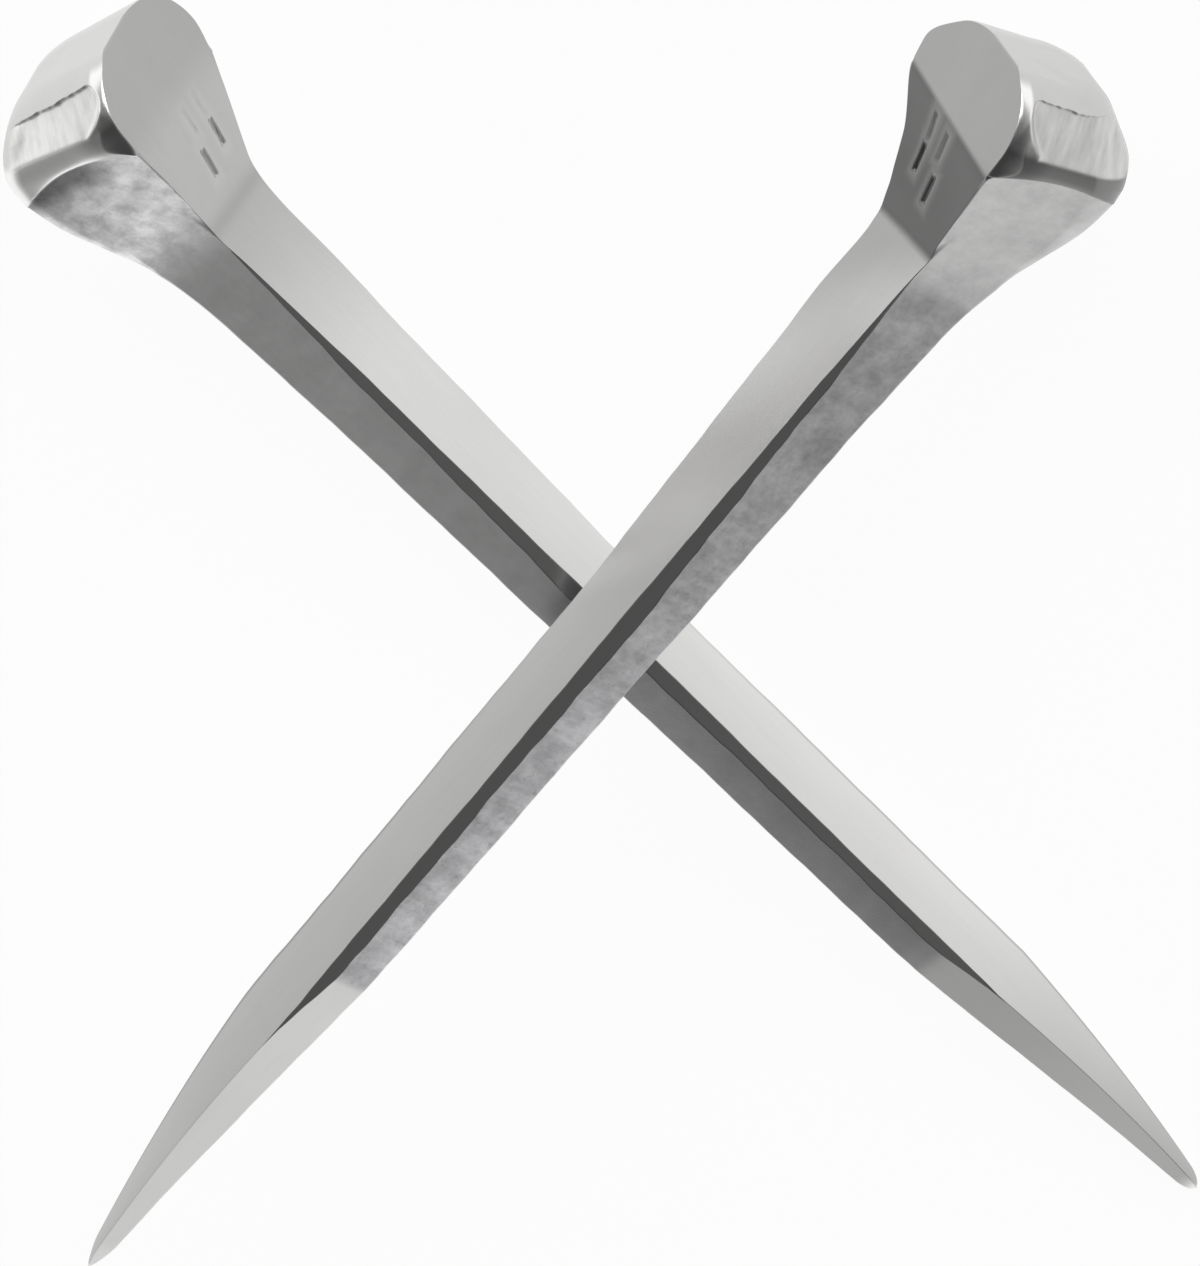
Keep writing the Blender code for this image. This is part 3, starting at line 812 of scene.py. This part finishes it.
def nail_mesh(name, form, placement):
    """Closed mesh of one nail with its finishes stored as attributes."""
    points, masks = form.build()
    rows, columns = points.shape[:2]
    tip = points[0].mean(axis=0)
    tip[2] = -TIP_REACH
    crown = points[-1].mean(axis=0)
    caps = cap_rows(points[-1], crown, CAP_ROWS)
    spots = np.concatenate([points.reshape(-1, 3), caps.reshape(-1, 3), [tip, crown]])
    total = rows + len(caps)
    ring = np.arange(columns)
    after = np.roll(ring, -1)
    faces = []
    for row in range(total - 1):
        low = row * columns
        high = low + columns
        faces.extend(np.stack([low + ring, low + after, high + after, high + ring], axis=1).tolist())
    tip_index = total * columns
    crown_index = tip_index + 1
    last = (total - 1) * columns
    faces.extend(np.stack([np.full(columns, tip_index), after, ring], axis=1).tolist())
    faces.extend(np.stack([np.full(columns, crown_index), last + ring, last + after], axis=1).tolist())
    mesh = bpy.data.meshes.new(name)
    mesh.from_pydata((spots * MM).tolist(), [], faces)
    mesh.shade_smooth()
    for key, mask in masks.items():
        values = np.full(len(spots), form.look.crown if key == "shade" else 0.0)
        values[:mask.size] = mask.ravel()
        layer = mesh.attributes.new(key, "FLOAT", "POINT")
        layer.data.foreach_set("value", values.astype(np.float32))
    place = mesh.attributes.new("nail_place", "FLOAT_VECTOR", "POINT")
    place.data.foreach_set("vector", spots.astype(np.float32).ravel())
    mesh.transform(placement)
    mesh.update()
    return mesh


def nail_matrix(place):
    """Matrix that lays a nail on its heading, with its pitch and roll."""
    lay = Matrix(((0.0, 0.0, 1.0), (1.0, 0.0, 0.0), (0.0, 1.0, 0.0))).to_4x4()
    turn = Matrix.Rotation(radians(place["heading"]), 4, "Z")
    rise = Matrix.Rotation(-radians(place["pitch"]), 4, "Y")
    spin = Matrix.Rotation(radians(place["roll"]), 4, "X")
    tip = Vector(place["tip"]) * MM
    return Matrix.Translation(tip) @ turn @ rise @ spin @ lay


class Wire:
    """A shader socket that takes part in Python expressions."""

    def __init__(self, tree, socket):
        self.tree = tree
        self.socket = socket

    def maths(self, operation, other=None, swap=False):
        """Add a Math node for this value and another."""
        node = self.tree.nodes.new("ShaderNodeMath")
        node.operation = operation
        pair = [self] if other is None else [self, other]
        if swap:
            pair.reverse()
        for place, item in enumerate(pair):
            if isinstance(item, Wire):
                self.tree.links.new(item.socket, node.inputs[place])
            else:
                node.inputs[place].default_value = item
        return Wire(self.tree, node.outputs[0])

    def __add__(self, other):
        return self.maths("ADD", other)

    def __radd__(self, other):
        return self.maths("ADD", other, True)

    def __sub__(self, other):
        return self.maths("SUBTRACT", other)

    def __rsub__(self, other):
        return self.maths("SUBTRACT", other, True)

    def __mul__(self, other):
        return self.maths("MULTIPLY", other)

    def __rmul__(self, other):
        return self.maths("MULTIPLY", other, True)


class Shader:
    """A node tree that is written with wires."""

    def __init__(self, tree):
        self.tree = tree
        tree.nodes.clear()

    def node(self, kind, output=0, settings=None, **sockets):
        """Add one node: its settings first, then values or links for its sockets."""
        node = self.tree.nodes.new(kind)
        for key, value in (settings or {}).items():
            if key == "stops":
                self.set_stops(node.color_ramp, value)
            else:
                setattr(node, key, value)
        for key, value in sockets.items():
            socket = self.find(node.inputs, key)
            if isinstance(value, Wire):
                self.tree.links.new(value.socket, socket)
            else:
                socket.default_value = value
        if output is None:
            return node
        return Wire(self.tree, node.outputs[output])

    @staticmethod
    def find(inputs, key):
        """Socket by its place, as in s0, or by its name with underscores."""
        if key[0] == "s" and key[1:].isdigit():
            return inputs[int(key[1:])]
        return inputs[key.replace("_", " ")]

    @staticmethod
    def set_stops(ramp_data, stops):
        """Give a colour ramp its stops."""
        while len(ramp_data.elements) < len(stops):
            ramp_data.elements.new(0.5)
        for element, (place, shade) in zip(ramp_data.elements, stops):
            element.position = place
            element.color = (shade, shade, shade, 1.0)

    def read(self, name, output):
        """Value of a stored attribute."""
        return self.node("ShaderNodeAttribute", output, {"attribute_name": name})


# Noise in the steel: stretch along x, y and z, then scale, detail and roughness
PATTERNS = {
    "blotch": ((0.9, 0.8, 0.9), 1.5, 7.0, 0.68),
    "cloud": ((0.30, 0.30, 0.75), 1.0, 5.0, 0.62),
    "fleck": ((1.0, 1.0, 1.4), 2.4, 4.0, 0.65),
    "stroke": ((0.4, 0.35, 3.2), 1.6, 5.0, 0.65),
    "fibre": ((0.8, 2.3, 0.4), 1.2, 3.0, 0.5),
    "grain": ((5.0, 2.0, 0.30), 1.2, 3.0, 0.6),
    "wide": ((0.5, 0.5, 0.2), 0.8, 2.0, 0.5),
}
BLOTCH_RANGE = (0.38, 0.66)
FLECK_RANGE = (0.58, 0.68)

# How far each pattern brightens or darkens the steel, and the blue in its worked sides
STROKE_GAIN = 0.4
FLECK_LOSS = 0.25
CLOUD_GAIN = 1.8
BLOTCH_LOSS = 0.60
FIBRE_GAIN = 0.65
GRAIN_GAIN = 0.06
WIDE_GAIN = 0.10
COOL_TINT = 0.025

# How high each pattern stands in the bump, what each mask adds to the roughness, and the metal a burr loses
STROKE_HEIGHT = 0.5
CLOUD_HEIGHT = 0.8
BLOTCH_HEIGHT = 0.5
GRAIN_HEIGHT = 0.06
BUMP_STRENGTH = 0.35
BUMP_DISTANCE = 0.04 * MM
ROUGHNESS = {"mottle": 0.12, "brush": 0.06, "burr": 0.10, "dull": 0.70}
BURR_METAL_LOSS = 0.15


def noise(shader, place, stretch, scale, detail, rough):
    """Noise from 0 to 1 on stretched nail coordinates."""
    vector = shader.node("ShaderNodeMapping", 0, None, Vector=place, Scale=stretch)
    return shader.node(
        "ShaderNodeTexNoise", 0, None, Vector=vector, Scale=scale, Detail=detail, Roughness=rough)


def spread(shader, value, low, high):
    """Stretch a value so that low becomes 0 and high becomes 1."""
    return shader.node(
        "ShaderNodeMapRange", 0, None, Value=value, From_Min=low, From_Max=high, To_Min=0.0, To_Max=1.0)


def steel_material(name, colour, gloss):
    """Forged steel: drawn faces, mottled or brushed sides and fibrous sheared burrs."""
    material = bpy.data.materials.new(name)
    material.use_nodes = True
    shader = Shader(material.node_tree)
    place = shader.read("nail_place", 1)
    shade = shader.read("shade", 2)
    masks = {key: shader.read(key, 2) for key in ROUGHNESS}
    mottle, brush, burr = [masks[key] for key in ("mottle", "brush", "burr")]
    pattern = {key: noise(shader, place, *values) for key, values in PATTERNS.items()}
    blotch = spread(shader, pattern["blotch"], *BLOTCH_RANGE)
    fleck = spread(shader, pattern["fleck"], *FLECK_RANGE)
    stroke, cloud, fibre, grain, wide = [
        pattern[key] for key in ("stroke", "cloud", "fibre", "grain", "wide")]
    brushed = brush * (STROKE_GAIN * (stroke - 0.5) - FLECK_LOSS * fleck)
    worked = 1.0 + brushed + CLOUD_GAIN * mottle * (cloud - 0.5)
    # The stored shade carries painted light and shade as well as the steel's own tone
    bright = shade * (1.0 - BLOTCH_LOSS * mottle * blotch) * worked
    bright = bright * (1.0 + FIBRE_GAIN * burr * (fibre - 0.5))
    bright = bright * (1.0 + GRAIN_GAIN * (grain - 0.5)) * (1.0 + WIDE_GAIN * (wide - 0.5))
    cool = COOL_TINT * (mottle + brush)
    tone = shader.node(
        "ShaderNodeCombineXYZ", 0, None,
        X=bright * colour[0], Y=bright * colour[1], Z=bright * (colour[2] + cool))
    height = STROKE_HEIGHT * stroke * brush + (CLOUD_HEIGHT * cloud + BLOTCH_HEIGHT * blotch) * mottle
    height = height + GRAIN_HEIGHT * grain + fibre * burr
    bump = shader.node(
        "ShaderNodeBump", 0, None, Strength=BUMP_STRENGTH, Distance=BUMP_DISTANCE, Height=height)
    rough = gloss
    for key, gain in ROUGHNESS.items():
        rough = rough + gain * masks[key]
    metal = 1.0 - BURR_METAL_LOSS * burr
    body = shader.node(
        "ShaderNodeBsdfPrincipled", 0, None,
        Base_Color=tone, Metallic=metal, Roughness=rough, Normal=bump)
    shader.node("ShaderNodeOutputMaterial", None, None, Surface=body)
    return material


def relief_tree():
    """Geometry nodes: shallow forged relief on the sides."""
    tree = bpy.data.node_groups.new("forged_relief", "GeometryNodeTree")
    face = tree.interface
    face.new_socket("Geometry", in_out="INPUT", socket_type="NodeSocketGeometry")
    numbers = (
        ("Depth", "NodeSocketFloat", 0.03 * MM), ("Scale", "NodeSocketFloat", 900.0),
        ("Seed", "NodeSocketInt", 0))
    for label, kind, value in numbers:
        socket = face.new_socket(label, in_out="INPUT", socket_type=kind)
        socket.default_value = value
    face.new_socket("Material", in_out="INPUT", socket_type="NodeSocketMaterial")
    face.new_socket("Geometry", in_out="OUTPUT", socket_type="NodeSocketGeometry")
    add = tree.nodes.new
    enter = add("NodeGroupInput")
    leave = add("NodeGroupOutput")
    spot = add("GeometryNodeInputPosition")
    normal = add("GeometryNodeInputNormal")
    move = add("GeometryNodeSetPosition")
    whole = add("GeometryNodeRealizeInstances")
    paint = add("GeometryNodeSetMaterial")
    wave = add("ShaderNodeTexNoise")
    wave.noise_dimensions = "4D"
    wave.inputs["Detail"].default_value = 2.0
    mask = add("GeometryNodeInputNamedAttribute")
    mask.data_type = "FLOAT"
    mask.inputs["Name"].default_value = "mottle"
    centre, deep, masked = [add("ShaderNodeMath") for _ in range(3)]
    centre.operation = "SUBTRACT"
    centre.inputs[1].default_value = 0.5
    deep.operation = "MULTIPLY"
    masked.operation = "MULTIPLY"
    push = add("ShaderNodeVectorMath")
    push.operation = "SCALE"
    links = (
        (spot, 0, wave, "Vector"), (enter, "Scale", wave, "Scale"), (enter, "Seed", wave, "W"),
        (wave, 0, centre, 0), (centre, 0, deep, 0), (enter, "Depth", deep, 1),
        (deep, 0, masked, 0), (mask, 0, masked, 1), (normal, 0, push, 0), (masked, 0, push, "Scale"),
        (enter, "Geometry", move, "Geometry"), (push, 0, move, "Offset"), (move, 0, whole, 0),
        (whole, 0, paint, "Geometry"), (enter, "Material", paint, "Material"),
        (paint, 0, leave, "Geometry"),
    )
    for source, output, target, place in links:
        tree.links.new(source.outputs[output], target.inputs[place])
    return tree


def forged(name, mesh, material, depth, seed):
    """Object with the forged relief worked into its mesh."""
    rough = bpy.data.objects.new(name + "_blank", mesh)
    bpy.context.scene.collection.objects.link(rough)
    tree = bpy.data.node_groups.get("forged_relief") or relief_tree()
    step = rough.modifiers.new("relief", "NODES")
    step.node_group = tree
    values = {"Depth": depth, "Seed": seed, "Material": material}
    for item in tree.interface.items_tree:
        if item.item_type == "SOCKET" and item.in_out == "INPUT" and item.name in values:
            step[item.identifier] = values[item.name]
    bpy.context.view_layer.update()
    done = rough.evaluated_get(bpy.context.evaluated_depsgraph_get())
    result = bpy.data.meshes.new_from_object(done)
    rough.modifiers.clear()
    bpy.data.objects.remove(rough, do_unlink=True)
    result.name = name
    piece = bpy.data.objects.new(name, result)
    bpy.context.scene.collection.objects.link(piece)
    return piece


def dress(node, place, look, turn):
    """Make the forged surface of one nail and put it in the place of its plain solid."""
    finish = bpy.context.scene.nail_finish
    form = NailForm(bpy.context.scene.nail_sizes, look)
    mesh = nail_mesh(node + "_blank", form, nail_matrix(place))
    material = steel_material(node + "_steel", finish.colour, finish.gloss)
    piece = forged(node + "_forged", mesh, material, look.relief * MM, finish.seed + turn)
    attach(piece, node)
    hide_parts(node)
    return piece


class NAILS_OT_lower_nail(bpy.types.Operator):
    """Forge the nail that lies underneath"""
    bl_idname = "nails.lower_nail"
    bl_label = "Lower nail"

    def execute(self, context):
        dress("lower_nail", LOWER_PLACE, LOWER_LOOK, 0)
        return {"FINISHED"}


class NAILS_OT_upper_nail(bpy.types.Operator):
    """Forge the nail that lies on top"""
    bl_idname = "nails.upper_nail"
    bl_label = "Upper nail"

    def execute(self, context):
        dress("upper_nail", UPPER_PLACE, UPPER_LOOK, 5)
        return {"FINISHED"}


# Strength of the table's own white, and the share of it that the camera and reflections see
TABLE_GLOW = 1.02
TABLE_WHITE = 0.93


def table_material(colour):
    """White table that keeps a faint shadow."""
    material = bpy.data.materials.new("white_table")
    material.use_nodes = True
    shader = Shader(material.node_tree)
    path = shader.node("ShaderNodeLightPath", None)
    rays = ("Is Camera Ray", "Is Glossy Ray", "Is Transmission Ray")
    camera, glossy, through = [Wire(shader.tree, path.outputs[name]) for name in rays]
    seen = camera.maths("MAXIMUM", glossy).maths("MAXIMUM", through)
    paper = shader.node("ShaderNodeBsdfDiffuse", 0, None, Color=(*colour, 1.0))
    white = shader.node("ShaderNodeEmission", 0, None, Color=(1.0, 1.0, 1.0, 1.0), Strength=TABLE_GLOW)
    both = shader.node("ShaderNodeMixShader", 0, None, s0=seen * TABLE_WHITE, s1=paper, s2=white)
    shader.node("ShaderNodeOutputMaterial", None, None, Surface=both)
    return material


def light_world():
    """Bright low surround that darkens towards the zenith."""
    world = bpy.data.worlds.new("low_bright_surround")
    world.use_nodes = True
    shader = Shader(world.node_tree)
    sky = shader.node("ShaderNodeTexCoord", 0)
    parts = shader.node("ShaderNodeSeparateXYZ", None, None, Vector=sky)
    rise = Wire(shader.tree, parts.outputs["Z"])
    stops = (
        (0.0, 0.95), (0.10, 0.95), (0.16, 0.86), (0.24, 0.66), (0.34, 0.48),
        (0.40, 0.40), (0.57, 0.22), (0.77, 0.12), (1.0, 0.10))
    tone = shader.node("ShaderNodeValToRGB", 0, {"stops": stops}, Fac=rise)
    back = shader.node("ShaderNodeBackground", 0, None, Color=tone, Strength=1.0)
    shader.node("ShaderNodeOutputWorld", None, None, Surface=back)
    bpy.context.scene.world = world


class NAILS_OT_stage(bpy.types.Operator):
    """Set the table, the soft light and the camera"""
    bl_idname = "nails.stage"
    bl_label = "Stage"

    KEY_PLACE = (0.025, 0.728, 0.529)
    KEY_SIZE = (1.2, 0.5)
    CAMERA_PLACE = (0.091876, 0.15524, 0.381728)
    CAMERA_RIGHT = (0.97538, -0.07619, -0.20694)
    CAMERA_UP = (-0.00811, 0.92536, -0.37898)
    CAMERA_BACK = (0.22034, 0.37137, 0.90194)

    def execute(self, context):
        look = context.scene.nail_stage
        bpy.ops.mesh.primitive_plane_add(size=look.table_size)
        table = context.object
        table.name = "table"
        table.data.materials.append(table_material(look.table_colour))
        light_world()
        self.add_key(look)
        self.add_camera(context, look)
        context.scene.view_settings.view_transform = "Standard"
        return {"FINISHED"}

    def add_key(self, look):
        """Large soft light behind the heads."""
        data = bpy.data.lights.new("key", "AREA")
        data.shape = "RECTANGLE"
        data.size, data.size_y = self.KEY_SIZE
        data.energy = look.key_power
        lamp = bpy.data.objects.new("key", data)
        lamp.location = self.KEY_PLACE
        lamp.rotation_euler = Vector(self.KEY_PLACE).to_track_quat("Z", "Y").to_euler()
        bpy.context.scene.collection.objects.link(lamp)

    def add_camera(self, context, look):
        """Camera at the photograph's viewing angle."""
        data = bpy.data.cameras.new("camera")
        data.sensor_fit = "HORIZONTAL"
        data.sensor_width = 36.0
        data.lens = look.focal
        data.clip_start = 0.01
        camera = bpy.data.objects.new("camera", data)
        axes = Matrix((self.CAMERA_RIGHT, self.CAMERA_UP, self.CAMERA_BACK)).transposed().to_4x4()
        camera.matrix_world = Matrix.Translation(self.CAMERA_PLACE) @ axes
        context.scene.collection.objects.link(camera)
        context.scene.camera = camera


class NAILS_PT_panel(bpy.types.Panel):
    """Panel that lists the operators"""
    bl_idname = "NAILS_PT_panel"
    bl_label = "Crossed nails"
    bl_space_type = "VIEW_3D"
    bl_region_type = "UI"
    bl_category = "Nails"

    def draw(self, context):
        for kind in OPERATORS:
            self.layout.operator(kind.bl_idname)


GROUPS = {"nail_sizes": NailSizes, "nail_finish": NailFinish, "nail_stage": StageLook}
OPERATORS = (NAILS_OT_lower_nail, NAILS_OT_upper_nail, NAILS_OT_stage)
CLASSES = (*GROUPS.values(), *OPERATORS, NAILS_PT_panel)


def register():
    """Register the classes and hang the settings on the scene."""
    for kind in CLASSES:
        bpy.utils.register_class(kind)
    for name, kind in GROUPS.items():
        setattr(bpy.types.Scene, name, PointerProperty(type=kind))


def unregister():
    """Undo what register does."""
    for name in GROUPS:
        delattr(bpy.types.Scene, name)
    for kind in reversed(CLASSES):
        bpy.utils.unregister_class(kind)


def main():
    """Build the pieces and the stage."""
    register()
    bpy.ops.nails.lower_nail()
    bpy.ops.nails.upper_nail()
    bpy.ops.nails.stage()


if __name__ == "__main__":
    main()
